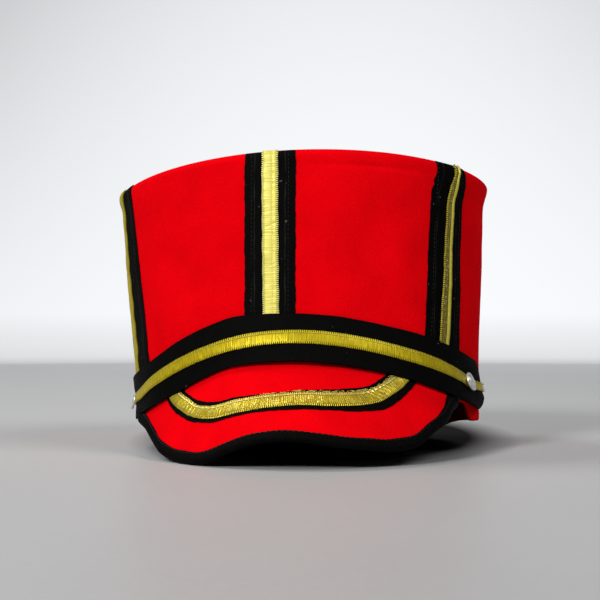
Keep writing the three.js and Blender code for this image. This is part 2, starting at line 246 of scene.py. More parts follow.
TOOTH = 1.0  # pitch of the gold ribbon's toothed edges
UV_HALF = 4.0  # a ribbon's half width on its material's map, whatever its real one
STITCH = 3.1  # pitch of the sewing

# ---- forms that the frame has too ----


def mix(a, b, t):
    return a + (b - a) * t


def bell(distance):
    """A hump, 1 high at distance 0."""
    return np.exp(-2 * np.square(distance))


def unit(vectors):
    return vectors / np.linalg.norm(vectors, axis=-1, keepdims=True)


def wrap(azimuth):
    return np.mod(azimuth + 180, 360) - 180


def read(rows, column, at):
    """A column of a table at a value of its first column, on a smooth curve through its rows."""
    x, y = next(iter(rows.values())), rows[column]
    rise, run = np.diff(y), np.diff(x)
    slope = np.concatenate([rise[:1] / run[:1], (y[2:] - y[:-2]) / (x[2:] - x[:-2]), rise[-1:] / run[-1:]])
    k = np.clip(np.searchsorted(x, at) - 1, 0, len(x) - 2)
    span = x[k + 1] - x[k]
    t = np.clip((at - x[k]) / span, 0, 1)
    start, end = (2 * t**3 - 3 * t**2 + 1) * y[k], (3 * t**2 - 2 * t**3) * y[k + 1]
    return start + end + span * ((t**3 - 2 * t**2 + t) * slope[k] + (t**3 - t**2) * slope[k + 1])


def rough(points, size, seed):
    """A smooth random field over points, about -1 to 1, with lumps about `size` mm wide."""
    rng, waves = np.random.default_rng(seed), 14
    total = np.zeros(points.shape[:-1])
    for _ in range(waves):
        way = rng.normal(size=3)
        way *= 2 * np.pi / (size * rng.uniform(0.7, 1.6) * np.linalg.norm(way))
        total += np.cos(points @ way + rng.uniform(0, 2 * np.pi))
    return total / math.sqrt(waves)


def spot(azimuth, height, out=0.0):
    """A point near the crown, by azimuth, height and distance out from the wall's outer face."""
    azimuth, height, out = np.broadcast_arrays(*(np.asarray(v, float) for v in (azimuth, height, out)))
    angle = np.radians(azimuth)
    half_width = CROWN["half_width"] + CROWN["flare_width"] * height
    half_depth = CROWN["half_depth"] + CROWN["flare_depth"] * height
    outward = unit(np.stack([np.sin(angle) / half_width, -np.cos(angle) / half_depth], -1))
    swell = sum(
        row_out * bell(wrap(azimuth - at) / degrees) * bell((height - level) / tall)
        for at, level, degrees, tall, row_out in zip(*SWELLS.values())
    )
    x = half_width * np.sin(angle) - CROWN["lean_right"] * height
    y = CROWN["lean_back"] * height - half_depth * np.cos(angle)
    level = np.append(outward, np.zeros_like(outward[..., :1]), -1)
    return np.stack([x, y, height], -1) + (out + swell)[..., None] * level


def rim_height(azimuth):
    angle = np.radians(azimuth)
    tilt = RIM["to_front"] * np.cos(angle) + RIM["to_left"] * np.sin(angle)
    return RIM["level"] + tilt + RIM["wave"] * np.cos(2 * angle)


def hem_height(azimuth):
    return np.maximum(0, read(HEM, "height", wrap(azimuth)))


def cloth(azimuth, height, out=0.0):
    """A point on the crown's velvet, which is softly uneven and creased under the top edge."""
    at = spot(azimuth, height)
    below = rim_height(azimuth) - height
    aside = (azimuth - CREASE["azimuth"]) / CREASE["degrees"]
    crease = -CREASE["deep"] * bell((below - CREASE["below"]) / CREASE["tall"]) * bell(aside)
    uneven = 0.28 * rough(at, 46, 1) + 0.1 * rough(at, 17, 2)
    fade = np.clip(below / 10, 0, 1)
    return spot(azimuth, height, out + crease + uneven * fade)


def strap_point(azimuth, across, lift):
    """Out and height on the strap's face: across from -1, its lower edge, to 1; lift above it."""
    top_out = GAP + BAND["thickness"]
    lower_out = read(STRAP, "stand", azimuth)
    for side in ("left", "right"):
        lift = lift - BUTTON["press"] * bell((azimuth - BUTTON[side]) / 9) * bell((across + 0.15) / 0.6)
    near_end = np.clip((azimuth - BAND["left_end"]) / 12 + 1, 0, 1)
    swollen = 0.9 * bell((across + 0.5) / 0.3)
    curled = BAND["left_curl"] * bell((across + 1.05) / 0.25)
    lift = lift + near_end * (swollen - curled)
    top, lower = read(STRAP, "top", azimuth), read(STRAP, "lower", azimuth)
    run, rise = top_out - lower_out, top - lower
    length = np.hypot(run, rise)
    share = (across + 1) / 2
    return lower_out + run * share + lift * rise / length, lower + rise * share - lift * run / length


def strap_azimuth(t):
    return mix(BAND["right_end"], BAND["left_end"], t)


def strap_spot(t, across, lift):
    """A point of the strap, by its share along and its place across from -1 to 1."""
    azimuth = mix(BAND["right_end"], BAND["left_end"] - BAND["left_skew"] * across, t)
    out, height = strap_point(azimuth, across, lift)
    return spot(azimuth, height, out)


SHEET = PEAK["velvet"] + PEAK["between"] + PEAK["lining"]
NOSE = SHEET / 2 + GAP + PEAK["tape"]  # the radius of the tape's fold round the peak's edge


def ruling(azimuth):
    """The peak's section: its edge's middle and the way up from it, in out and height."""
    out = read(EDGE, "reach", azimuth) - NOSE
    height = np.maximum(0, read(EDGE, "height", azimuth)) + NOSE
    strap_out, strap_height = strap_point(azimuth, -1, -BAND["thickness"])
    run, rise = strap_out - out, strap_height - height
    turn = np.arctan2(rise, run) + np.arcsin((SHEET / 2 + PEAK["strap_clearance"]) / np.hypot(run, rise))
    return out, height, np.cos(turn), np.sin(turn)


def peak_spot(azimuth, inset, lift):
    """A point of the peak, by its distance up from the edge and its lift above the mid sheet."""
    out, height, run, rise = ruling(azimuth)
    share = np.clip(inset * -run / (out - GAP), 0, 1)
    away = lift + 4 * read(EDGE, "bow", azimuth) * share * (1 - share)
    return spot(azimuth, height + rise * inset - run * away, out + run * inset + rise * away)


def seam_inset(azimuth, lift):
    """The distance up from the edge at which a layer of the peak meets the crown."""
    out, _, run, rise = ruling(azimuth)
    return (out + rise * lift - GAP) / -run


def trim_azimuth(t):
    return mix(TRIM["azimuth"][0], TRIM["azimuth"][-1], t)


def trim_spot(t, across, lift):
    """A point of the peak's trim: across in mm from its middle line, up the peak."""
    slant = TRIM_SLANT["right"] * t**4 - TRIM_SLANT["left"] * (1 - t) ** 4
    azimuth = trim_azimuth(t) + slant * across
    inset, top = read(TRIM, "inset", azimuth), SHEET / 2
    here = peak_spot(azimuth, inset, top)
    per_degree = peak_spot(azimuth + 1, inset, top) - here
    per_inset = peak_spot(azimuth, inset + 1, top) - here
    along = peak_spot(azimuth + 1, read(TRIM, "inset", azimuth + 1), top) - here
    side = unit(np.cross(np.cross(per_degree, per_inset), along))

    def dot(a, b):
        return np.sum(a * b, -1)

    dd, di, ii = dot(per_degree, per_degree), dot(per_degree, per_inset), dot(per_inset, per_inset)
    sd, si = dot(side, per_degree), dot(side, per_inset)
    whole = dd * ii - di * di
    degrees, insets = (sd * ii - si * di) / whole, (si * dd - sd * di) / whole
    return peak_spot(azimuth + degrees * across, inset + insets * across, top + lift)


def frame_shift():
    """The frame's place for these forms: its crown's lowest corner, less this crown's."""
    azimuth = np.linspace(-180, 180, 73)[:, None]
    shoulder = rim_height(azimuth) - CROWN["edge_radius"]
    wall = spot(azimuth, mix(hem_height(azimuth), shoulder, np.linspace(0, 1, 81)))
    shift = np.array(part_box("crown_side")[0]) / MM - wall.reshape(-1, 3).min(0)
    shift[2] = 0
    return shift


SHIFT = frame_shift()

# ---- meshes ----


def add_object(name, data):
    piece = bpy.data.objects.new(name, data)
    bpy.context.scene.collection.objects.link(piece)
    return piece


def smooth_mesh(name, points, faces):
    mesh = bpy.data.meshes.new(name)
    mesh.from_pydata(points.tolist(), [], faces)
    mesh.polygons.foreach_set("use_smooth", [True] * len(mesh.polygons))
    return mesh


def finish_mesh(name, points, faces, uv, materials, face_slots, smooth_under):
    """An object from points in mm, faces, a [u, v] in mm for each point, and materials."""
    mesh = smooth_mesh(name, (points + SHIFT) * MM, faces)
    if smooth_under < 180:
        mesh.set_sharp_from_angle(angle=math.radians(smooth_under))
    corners = np.empty(len(mesh.loops), int)
    mesh.loops.foreach_get("vertex_index", corners)
    mesh.uv_layers.new(name="cloth").data.foreach_set("uv", (uv[corners] * MM).ravel())
    for material in materials:
        mesh.materials.append(material)
    if face_slots is not None:
        mesh.polygons.foreach_set("material_index", face_slots)
    mesh.update()
    return add_object(name, mesh)


def loft(name, points, uv, materials, ring=False, loop_slots=None, smooth_under=50):
    """Skins stations of closed loops, points[station, loop, 3], into one closed piece.

    A ring's last station joins its first, and loop_slots picks a material for each part of its loop.
    """
    rows, count = points.shape[:2]
    far = rows if ring else rows - 1
    i, j = np.meshgrid(np.arange(far), np.arange(count), indexing="ij")
    a, b = i * count + j, i * count + (j + 1) % count
    c, d = (i + 1) % rows * count + (j + 1) % count, (i + 1) % rows * count + j
    flat = points.reshape(-1, 3)
    quads = np.stack([a, b, c, d], -1).reshape(-1, 4)
    centre = flat.mean(0)
    p, q, r, s = (flat[quads[:, k]] - centre for k in range(4))
    inward = np.sum(p * np.cross(q, r) + p * np.cross(r, s)) < 0
    if inward:
        quads = quads[:, ::-1]
    faces = quads.tolist()
    if not ring:
        first, last = list(range(count)), list(range((rows - 1) * count, rows * count))
        faces += [first, last[::-1]] if inward else [first[::-1], last]
    face_slots = None if loop_slots is None else np.tile(loop_slots, far).tolist()
    return finish_mesh(name, flat, faces, uv.reshape(-1, 2), materials, face_slots, smooth_under)


def ride(piece, material_slot, *nodes):
    """Sets a piece on the cap's one body and the node that it replaces."""
    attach(piece, "root")
    if nodes:
        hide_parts(*nodes)
    return piece


def run_length(place):
    """The length in mm of a ribbon's middle line, place(t, across, lift) with t from 0 to 1."""
    line = place(np.linspace(0, 1, 201), 0.0, 0.0)
    return np.linalg.norm(np.diff(line, axis=0), axis=1).sum()


def ribbon(name, place, edges, top, under, material, step, columns):
    """A flat ribbon, from its edges in mm by its run, its top face by run and share, and its back."""
    length = run_length(place)
    run = np.linspace(0, length, int(length / step) + 2)[:, None]
    share = np.linspace(-1, 1, columns)
    back = np.linspace(1, -1, 5)
    loop = np.concatenate([share, back])[None, :]
    low, high = edges(run)
    across = mix(low, high, (loop + 1) / 2)
    lift = np.concatenate([top(run, share[None, :]), under + 0 * run * back[None, :]], 1)
    points = place(run / length, across, lift)
    middle = place(run / length, 0 * run, 0 * run)
    along = unit(np.gradient(middle, axis=0))
    square_run = run + np.sum((points - middle) * along, -1)
    uv = np.stack(np.broadcast_arrays(square_run, loop * UV_HALF), -1)
    return loft(name, points, uv, [material])


def stitches(name, place, across, lift, material, size=0.1, pitch=STITCH):
    """A row of sewn stitches along a ribbon's run, one small dash of thread for each."""
    length, margin, dash = run_length(place), 2.0, 0.72
    first = np.arange(margin, length - margin, pitch)[:, None]
    share = np.linspace(0, 1, 7)[None, :]
    run = first + share * pitch * dash
    high = lift + size * 0.8 * np.sin(np.pi * share) - size * 0.4
    t = run / length
    middle = place(t, across + 0 * t, high + 0 * t)
    up = place(t, across + 0 * t, high + 1 + 0 * t) - middle
    along = np.gradient(middle, axis=1)
    radius = size * np.array([0.35, 0.85, 1, 1, 1, 0.85, 0.35])[None, :, None, None]
    return threads(name, thread_rings(middle, np.cross(along, up), up, radius, 6), material)


def tube(middle, radius):
    """Thin round yarn along each of the lines middle[line, step, 3]."""
    along = np.gradient(middle, axis=1)
    side = np.cross(along, [0.13, 0.29, 0.95])
    return thread_rings(middle, side, np.cross(along, side), radius, 5)


def thread_rings(middle, side, up, radius, corners):
    """Cornered rings round each point of the lines middle[line, step, 3]."""
    turn = np.linspace(0, 2 * np.pi, corners + 1)[:-1]
    side, up = unit(side)[:, :, None], unit(up)[:, :, None]
    circle = np.cos(turn)[:, None] * side + np.sin(turn)[:, None] * up
    return middle[:, :, None] + radius * circle


def threads(name, rings, material):
    """Joined tubes from rings[tube, step, corner, 3], each closed at both ends."""
    tubes, steps, corners = rings.shape[:3]
    n, i, j = np.meshgrid(np.arange(tubes), np.arange(steps - 1), np.arange(corners), indexing="ij")
    base = (n * steps + i) * corners
    beside = base + (j + 1) % corners
    quads = np.stack([base + j, beside, beside + corners, base + corners + j], -1)
    starts = (np.arange(tubes) * steps * corners)[:, None] + np.arange(corners)[::-1]
    ends = (np.arange(tubes) * steps * corners + (steps - 1) * corners)[:, None] + np.arange(corners)
    faces = quads.reshape(-1, 4).tolist() + starts.tolist() + ends.tolist()
    uv = np.zeros((rings.size // 3, 2))
    return finish_mesh(name, rings.reshape(-1, 3), faces, uv, [material], None, 180)


# ---- materials ----


def grey(value):
    return (value, value, value, 1)


class Nodes:
    """A short way to write a material's nodes."""

    def __init__(self, name):
        self.material = bpy.data.materials.new(name)
        self.material.use_nodes = True
        self.tree = self.material.node_tree
        self.shader = self.tree.nodes["Principled BSDF"]

    def add(self, kind, settings=(), **inputs):
        node = self.tree.nodes.new("ShaderNode" + kind)
        for key, value in settings:
            setattr(node, key, value)
        for key, value in inputs.items():
            self.link(node, key.replace("_", " "), value)
        return node

    def link(self, node, key, value):
        socket = node.inputs[int(key[1:])] if key[0] == "i" and key[1:].isdigit() else node.inputs[key]
        if isinstance(value, bpy.types.NodeSocket):
            self.tree.links.new(value, socket)
        else:
            socket.default_value = value

    def set(self, **inputs):
        for key, value in inputs.items():
            self.link(self.shader, key.replace("_", " "), value)

    def place(self):
        return self.add("TexCoord").outputs["Object"]

    def uv(self):
        return self.add("UVMap", [("uv_map", "cloth")]).outputs["UV"]

    def noise(self, where, scale, detail=2.0, roughness=0.5):
        texture = self.add("TexNoise", Vector=where, Scale=scale, Detail=detail, Roughness=roughness)
        return texture.outputs["Fac"]

    def span(self, value, low, high, out_low=0.0, out_high=1.0):
        node = self.add("MapRange", i0=value, i1=low, i2=high, i3=out_low, i4=out_high)
        return node.outputs["Result"]

    def colours(self, value, *stops):
        ramp = self.add("ValToRGB", Fac=value)
        elements = ramp.color_ramp.elements
        while len(elements) < len(stops):
            elements.new(0.5)
        for element, (at, colour) in zip(elements, stops):
            element.position, element.color = at, (*colour, 1)
        return ramp.outputs["Color"]

    def blend(self, share, a, b):
        """A colour from a to b by the share."""
        return self.add("Mix", [("data_type", "RGBA")], i0=share, i6=a, i7=b).outputs[2]

    def maths(self, kind, a, b=0.0):
        return self.add("Math", [("operation", kind)], i0=a, i1=b).outputs[0]

    def times(self, a, b):
        return self.maths("MULTIPLY", a, b)

    def gap(self, a, b):
        """How far a is from b, either way."""
        return self.maths("ABSOLUTE", self.maths("SUBTRACT", a, b))

    def parts(self, vector):
        return tuple(self.add("SeparateXYZ", Vector=vector).outputs)

    def pair(self, x, y):
        return self.add("CombineXYZ", X=x, Y=y).outputs[0]

    def length(self, x, y):
        return self.add("VectorMath", [("operation", "LENGTH")], i0=self.pair(x, y)).outputs["Value"]

    def wave(self, value, pitch):
        """A ridge of height 0 to 1 for every pitch, in metres, of a coordinate in metres."""
        return self.span(self.maths("SINE", self.times(value, 2 * math.pi / pitch)), -1.0, 1.0)

    def bump(self, height, depth, normal=None):
        node = self.add("Bump", Height=height, Distance=depth, Strength=1.0)
        if normal is not None:
            self.link(node, "Normal", normal)
        return node.outputs["Normal"]


def velvet():
    n = Nodes("velvet")
    where = n.place()
    mottle = n.noise(where, 45, 4)
    pile = n.noise(where, 900, 3, 0.7)
    colour = n.colours(mottle, (0.3, (0.68, 0.0002, 0.003)), (0.7, (0.82, 0.0003, 0.0035)))
    shade = n.blend(n.span(pile, 0.35, 0.75, 0.0, 0.3), colour, (0.5, 0.0, 0.0025, 1))
    n.set(
        Base_Color=shade,
        Roughness=0.9,
        Specular_IOR_Level=0.01,
        Sheen_Weight=0.2,
        Sheen_Roughness=0.4,
        Sheen_Tint=(1.0, 0.0, 0.01, 1),
        Normal=n.bump(pile, 0.0003, n.bump(mottle, 0.0004)),
    )
    return n.material


def backing():
    """The wrong side of the crown's cloth: a plain open weave."""
    n = Nodes("backing")
    run, across, _ = n.parts(n.uv())
    weave = n.times(n.wave(run, 0.0011), n.wave(across, 0.0011))
    colour = n.colours(n.noise(n.place(), 40, 3), (0.3, (0.16, 0.004, 0.006)), (0.7, (0.24, 0.008, 0.01)))
    n.set(Base_Color=colour, Roughness=0.95, Specular_IOR_Level=0.2, Normal=n.bump(weave, 0.0003))
    return n.material


def ridge_highlight_line(n, cloth, run, across, ridge):
    """Paler, broken lines at the distance ridge on either side of a ribbon's middle: a painted highlight
    along its fold ridges.
    """
    aside = n.maths("ABSOLUTE", across)
    ridge_glint = n.span(n.noise(n.pair(n.times(run, 90.0), aside), 1.0, 2), 0.35, 0.65, 0.0, 0.5)
    near = n.span(n.gap(aside, ridge), 0.00004, 0.00012, 1.0, 0.0)
    # The paler colour is a painted highlight on the ridges.
    return n.blend(n.times(ridge_glint, near), cloth, (0.035, 0.035, 0.032, 1))


def black_ribbon(name="black_ribbon", pitch=0.0009, light=1.0, ridge=None):
    """Ribbed black cloth with a little lint, more of it where it also has paler lines painted along its
    ridges as a highlight.
    """
    n = Nodes(name)
    where = n.place()
    run, across, _ = n.parts(n.uv())
    ribs = n.wave(run, pitch)
    yarn = n.noise(where, 700, 2)
    lint_from = 0.87 if ridge is None else 0.83
    lint = n.span(n.noise(where, 520, 0), lint_from, lint_from + 0.03, 0.0, 0.3)
    dark, pale = (0.0012 * light, 0.0013 * light, 0.001 * light), (0.0028 * light,) * 3
    cloth = n.colours(yarn, (0.3, dark), (0.8, pale))
    # Painted highlight lines along the fold ridges.
    if ridge is not None:
        cloth = ridge_highlight_line(n, cloth, run, across, ridge)
    n.set(
        Base_Color=n.blend(lint, cloth, (0.2, 0.19, 0.17, 1)),
        Roughness=n.span(yarn, 0.2, 0.8, 0.5, 0.75),
        Specular_IOR_Level=0.02,
        Normal=n.bump(ribs, 0.00006, n.bump(yarn, 0.0002)),
    )
    return n.material


def gold_ribbon(
    name, dark, light, metallic, roughness, glint, contrast, sparkle=0.0, border=None, edge=0.0031
):
    """Woven metal yarn: ribs across it, some painted brighter as glints, a toothed edge, perhaps a border
    past a line.

    glint is the yarn's relief and edge the start of its teeth, both in metres; a border is its
    line's distance from the middle and its colour, a painted highlight on the part that turns up.
    sparkle paints white glints; the grooves near the edges and the border's line get painted shade.
    """
    n = Nodes(name)
    run, across, _ = n.parts(n.uv())
    ribs = n.wave(run, 0.001)
    # Streaks of yarn tone, their pale colour partly a painted glint on the ribs.
    streak = n.noise(n.pair(n.times(run, 1300.0), n.times(across, 60.0)), 1.0, 3, 0.6)
    # deep is the colour of the painted shade in the grooves and along the border's line.
    where, deep = n.place(), (*(c * 0.3 for c in dark), 1)
    colour = n.colours(streak, (0.36, dark), (0.6, light))
    colour = n.blend(n.span(n.noise(where, 110, 3), 0.35, 0.65, 0.0, contrast), colour, (*dark, 1))
    # Painted glints: white flecks.
    if sparkle:
        colour = n.blend(n.span(n.noise(where, 800, 1), 0.6, 0.7, 0.0, sparkle), colour, (1.0, 0.97, 0.66, 1))
    if border is not None:
        line, beyond = border
        # A painted highlight past the border's line, and painted shade along the line.
        colour = n.blend(n.span(across, line, line + 0.0002, 0.0, 0.6), colour, (*beyond, 1))
        colour = n.blend(n.span(n.gap(across, line), 0.0001, 0.0003, 0.9, 0.0), colour, deep)
    aside = n.maths("ABSOLUTE", across)
    # Painted shade in the grooves near both edges.
    colour = n.blend(n.span(aside, 0.0026, 0.003, 0.0, 0.4), colour, deep)
    teeth = n.colours(n.wave(run, TOOTH * MM), (0.3, (0.002, 0.002, 0.002)), (0.55, light))
    colour = n.blend(n.span(aside, edge, edge + 0.0002), colour, teeth)
    height = n.maths("ADD", n.times(ribs, 0.3), streak)
    n.set(
        Base_Color=colour,
        Metallic=metallic,
        Roughness=n.span(streak, 0.3, 0.7, roughness + 0.12, roughness - 0.08),
        Specular_IOR_Level=0.15,
        Normal=n.bump(height, glint),
    )
    return n.material


def thread(name, colour, roughness=0.6):
    n = Nodes(name)
    fibres = n.noise(n.place(), 2500, 2)
    n.set(
        Base_Color=n.colours(fibres, (0.3, tuple(c * 0.7 for c in colour)), (0.7, colour)),
        Roughness=roughness,
        Specular_IOR_Level=0.4,
        Normal=n.bump(fibres, 0.0001),
    )
    return n.material


def button_metal():
    n = Nodes("button_metal")
    wear = n.noise(n.place(), 500, 3)
    n.set(
        Base_Color=n.colours(wear, (0.3, (0.6, 0.59, 0.56)), (0.7, (0.85, 0.84, 0.81))),
        Metallic=0.6,
        Roughness=n.span(wear, 0.2, 0.8, 0.22, 0.4),
    )
    return n.material


VELVET, BACKING, BLACK = velvet(), backing(), black_ribbon()
# The stripes' black, with painted highlight lines along its ridges.
BLACK_RIDGED = black_ribbon("black_stripe", ridge=0.0024)
# Copies of one gold ribbon, painted lighter or darker for how light falls where each lies: a pale copy with a
# painted highlight for the stripes, a shaded copy for the strap and a side stripe, a dark copy with one facet
# painted lit, and a glinting copy for the trim.
GOLD = gold_ribbon(
    "gold_ribbon", (0.62, 0.53, 0.06), (0.8, 0.75, 0.21),
    metallic=0.2, roughness=0.48, glint=0.00006, contrast=0.16,
)
GOLD_SHADED = gold_ribbon(
    "gold_strap_painted_shade", (0.31, 0.23, 0.001), (0.64, 0.51, 0.01),
    metallic=0.35, roughness=0.42, glint=0.00012, contrast=0.4,
    border=(0.0022, (0.68, 0.56, 0.05)), edge=0.0028,
)
GOLD_FACETS_LIT_AND_SHADED = gold_ribbon(
    "gold_facets_painted_light", (0.12, 0.09, 0.001), (0.34, 0.27, 0.02),
    metallic=0.35, roughness=0.4, glint=0.0002, contrast=0.5, sparkle=0.5,
    border=(0.0009, (0.86, 0.76, 0.1)),
)
GOLD_GLINTING = gold_ribbon(
    "gold_trim_painted_glints", (0.3, 0.21, 0.002), (0.85, 0.68, 0.05),
    metallic=0.5, roughness=0.36, glint=0.0004, contrast=0.6, sparkle=0.3,
    border=(0.0019, (1.0, 0.9, 0.3)),
)
LINING = black_ribbon("lining", pitch=0.0007, light=1.4)
BLACK_THREAD = thread("black_thread", (0.009, 0.009, 0.008))
GOLD_THREAD = thread("gold_thread", (0.5, 0.38, 0.06), roughness=0.4)
FRAY_THREAD = thread("frayed_thread", (0.72, 0.6, 0.12), roughness=0.4)
METAL = button_metal()

# ---- crown ----


def arc(radius, start, end, count):
    turns = np.radians(np.linspace(start, end, count))
    return radius * np.cos(turns), radius * np.sin(turns)


def crown_side():
    """The velvet side: outer face, soft top edge, lip into the top seam, wrong side, turned hem."""
    wall, radius, lip = CROWN["wall"], CROWN["edge_radius"], CROWN["lip"]
    outer_count, inner_count = 100, 36
    azimuth = np.linspace(-180, 180, 481)[:-1, None]
    hem, rim = hem_height(azimuth), rim_height(azimuth)
    shoulder, fold = rim - radius, wall / 2
    turned_out, turned_up = arc(radius, 4, 90, 12)
    round_out, round_up = arc(fold, 180, 356, 9)

    def level(shares):
        return mix(hem + fold, shoulder, shares[None, :])

    outer = level(np.linspace(0, 1, outer_count))
    inner = level(np.linspace(0.985, 0.012, inner_count))
    lip_out = -radius - lip * np.array([0.45, 0.8, 1.0, 1.0])
    lip_up = np.array([0.0, -0.12, -0.55, -wall])
    faces_out = [np.zeros(outer_count), turned_out - radius, lip_out, np.full(inner_count, -wall)]
    height = np.concatenate([outer, shoulder + turned_up, rim + lip_up, inner, hem + fold + round_up], 1)
    out = np.broadcast_to(np.concatenate([*faces_out, round_out - fold]), height.shape)
    outside = np.zeros(height.shape[1], bool)  # true where the velvet's face shows
    outside[: outer_count + len(turned_out) + 2] = True
    outside[-4:] = True
    points = np.where(outside[None, :, None], cloth(azimuth, height, out), spot(azimuth, height, out))
    girth = points[:, outer_count // 2]
    around = np.cumsum(np.linalg.norm(np.diff(girth, axis=0, prepend=girth[:1]), axis=1))
    uv = np.stack(np.broadcast_arrays(around[:, None], height), -1)
    loop_slots = np.where(outside, 0, 1)
    piece = loft("velvet_side", points, uv, [VELVET, BACKING], True, loop_slots, smooth_under=60)
    return ride(piece, "velvet", "crown_side")


def crown_top():
    """The top panel, sunk a little towards its middle and sewn in at its edge."""
    thickness, dish, hub = CROWN["wall"] - 0.8, 2.5, 0.01
    azimuth = np.linspace(-180, 180, 361)[None, :-1]
    middle = (spot(90.0, RIM["level"]) + spot(-90.0, RIM["level"])) / 2
    edge_out = -CROWN["edge_radius"] - CROWN["lip"] - 0.08

    def rings(shares, drop):
        shares = shares[:, None]
        rolled = 0.75 * bell((1 - shares) * CROWN["half_width"] / 1.6)
        edge = spot(azimuth, rim_height(azimuth) - 0.05 - drop, edge_out)
        centre = middle - np.array([0, 0, drop])
        points = mix(centre, edge, shares[..., None])
        sag = dish * (1 - shares**2) + rolled - 0.35 * rough(points, 60, 5) * (1 - shares**6)
        return points - np.stack([0 * sag, 0 * sag, sag + 0 * points[..., 0]], -1)

    under = np.linspace(hub, 1, 12)
    over = np.concatenate([np.linspace(1, 0.93, 12), np.linspace(0.9, hub, 36)])
    points = np.concatenate([rings(under, thickness), rings(over, 0)])
    piece = loft("velvet_top", points, points[..., :2], [VELVET], smooth_under=60)
    return ride(piece, "velvet", "crown_top")


# ---- ribbons ----


def stripe_place(foot, head):
    """A stripe's run from under the strap, or from the hem, up the crown and over its top edge."""
    radius = CROWN["edge_radius"]
    under_strap = BAND["right_end"] < foot < BAND["left_end"]
    overlap, hem_margin = 3.0, 1.2
    turned_over = 0.62  # the share of the top edge's round that the stripe follows

    def foot_height(azimuth):
        return read(STRAP, "top", azimuth) - overlap if under_strap else hem_height(azimuth) + hem_margin

    shoulder = float(rim_height(head)) - radius
    rise = shoulder - float(foot_height(np.array(foot)))
    whole = rise + radius * np.pi / 2 * turned_over

    def place(t, across, lift):
        run = np.clip(t * whole, 0, rise) / rise
        turned = np.clip(t * whole - rise, 0, None) / radius
        middle = mix(foot, head, run)
        level = mix(foot_height(middle), rim_height(middle) - radius, run)
        per_degree = np.linalg.norm(spot(middle + 0.5, level) - spot(middle - 0.5, level), axis=-1)
        azimuth = middle + across / per_degree
        height = mix(foot_height(azimuth), rim_height(azimuth) - radius, run)
        height = height + (radius + lift) * np.sin(turned)
        pressed = 1 if not under_strap else np.clip(t * whole / overlap, 0.35, 1)
        out = radius * (np.cos(turned) - 1) + lift * pressed * np.cos(turned)
        return cloth(azimuth, height, out)

    return place


def steady(half, run):
    """The edges of a ribbon with one width."""
    return -half, half


def wandering(length, kind, half, run):
    """The second stripe's edges, by the run in mm; kind is black or gold."""
    low, high = (read(SECOND_STRIPE, f"{kind}_{end}", run / length) for end in ("low", "high"))
    return low - half, high + half


def woven_edges(plain, seed, teeth=0.0):
    """A ribbon's plain edges made a little uneven along their run, with a gold ribbon's small teeth."""
    rng = np.random.default_rng(seed)
    phases = rng.uniform(0, 2 * np.pi, (2, 3))
    size = 0.03 if teeth else 0.1

    def uneven(run, phase):
        return size * sum(np.sin(run * 2 * np.pi / pitch + p) for pitch, p in zip((31, 13, 5.3), phase))

    def edges(run):
        tooth = teeth * np.sin(np.pi * run / TOOTH) ** 2
        below, above = plain(run)
        return below + uneven(run, phases[0]) - tooth, above + uneven(run, phases[1]) + tooth

    return edges


def black_band(name, place, edges, lift, thickness, seed, material):
    """A black ribbon, with a raised woven edge on either side."""

    def top(run, share):
        ripple = 0.06 * np.sin(run / 9 + 3 * share + seed) + 0.05 * np.sin(run / 3.7 - 2 * share)
        edge = 0.08 * bell((np.abs(share) - 0.96) / 0.05)
        return lift + thickness + (ripple + edge) * (1 - share**8)

    return ribbon(name, place, woven_edges(edges, seed), top, lift, material, step=1.2, columns=33)


def creases(length, seed):
    """Small folds across a ribbon: a function of the run in mm and the share across."""
    rng, pitch, depth = np.random.default_rng(seed), 6.5, 0.2
    even = np.arange(2, length, pitch)
    at = even + rng.uniform(-0.4, 0.4, len(even)) * pitch
    deep, lean, side = rng.uniform(0.3, 1, len(at)), rng.normal(0, 0.8, len(at)), rng.uniform(-1, 1, len(at))

    def fold(run, share):
        total = 0
        for k, centre in enumerate(at):
            near = bell((run - centre - lean[k] * share) / 0.7)
            total = total - depth * deep[k] * near * (1 + side[k] * share) / 2
        return total

    return fold


def gold_band(name, place, edges, lift, section, material, seed, scallop=0.0, gathers=None):
    """A gold ribbon with toothed edges, small folds across it, and a section from section(share)."""
    fold, scallop_pitch = creases(run_length(place), seed), 12

    def top(run, share):
        uneven = 0.05 * np.sin(run / 2.3 + seed + 2 * share) * np.cos(run / 5.1)
        hem = -0.22 * bell((np.abs(share) - 0.72) / 0.06)
        drawn = 0 if gathers is None else gathers(run, share)
        shape = section(share) + fold(run, share) + uneven + hem + drawn
        return lift + GOLD_THICKNESS + shape * (1 - share**12)

    woven = woven_edges(edges, seed, teeth=0.15)

    def scalloped(run):
        below, above = woven(run)
        wave = scallop * np.sin(run * 2 * np.pi / scallop_pitch + seed)
        return below - wave, above + wave

    return ribbon(name, place, scalloped, top, lift, material, step=TOOTH / 4, columns=25)


def sewn_section(groove, share):
    """A ribbon sewn down along a groove, puffed a little on either side of it."""
    lobe = np.where(share < groove, (share + 1) / (groove + 1), (1 - share) / (1 - groove))
    return 0.3 * np.sqrt(np.sin(np.pi * np.clip(lobe, 0, 1)))


def cupped_section(groove, rise, share):
    """A ribbon folded along a groove, from which both its sides rise."""
    return rise * np.where(share < groove, (groove - share) / (groove + 1), (share - groove) / (1 - groove))


def bordered_section(border, drop, share):
    """A flat ribbon whose upper border turns back a little, past a fine line."""
    past = np.clip((share - border) / (1 - border), 0, 1)
    return 0.3 - drop * past - 0.2 * bell((share - border) / 0.09) + 0.12 * (1 - share**2)


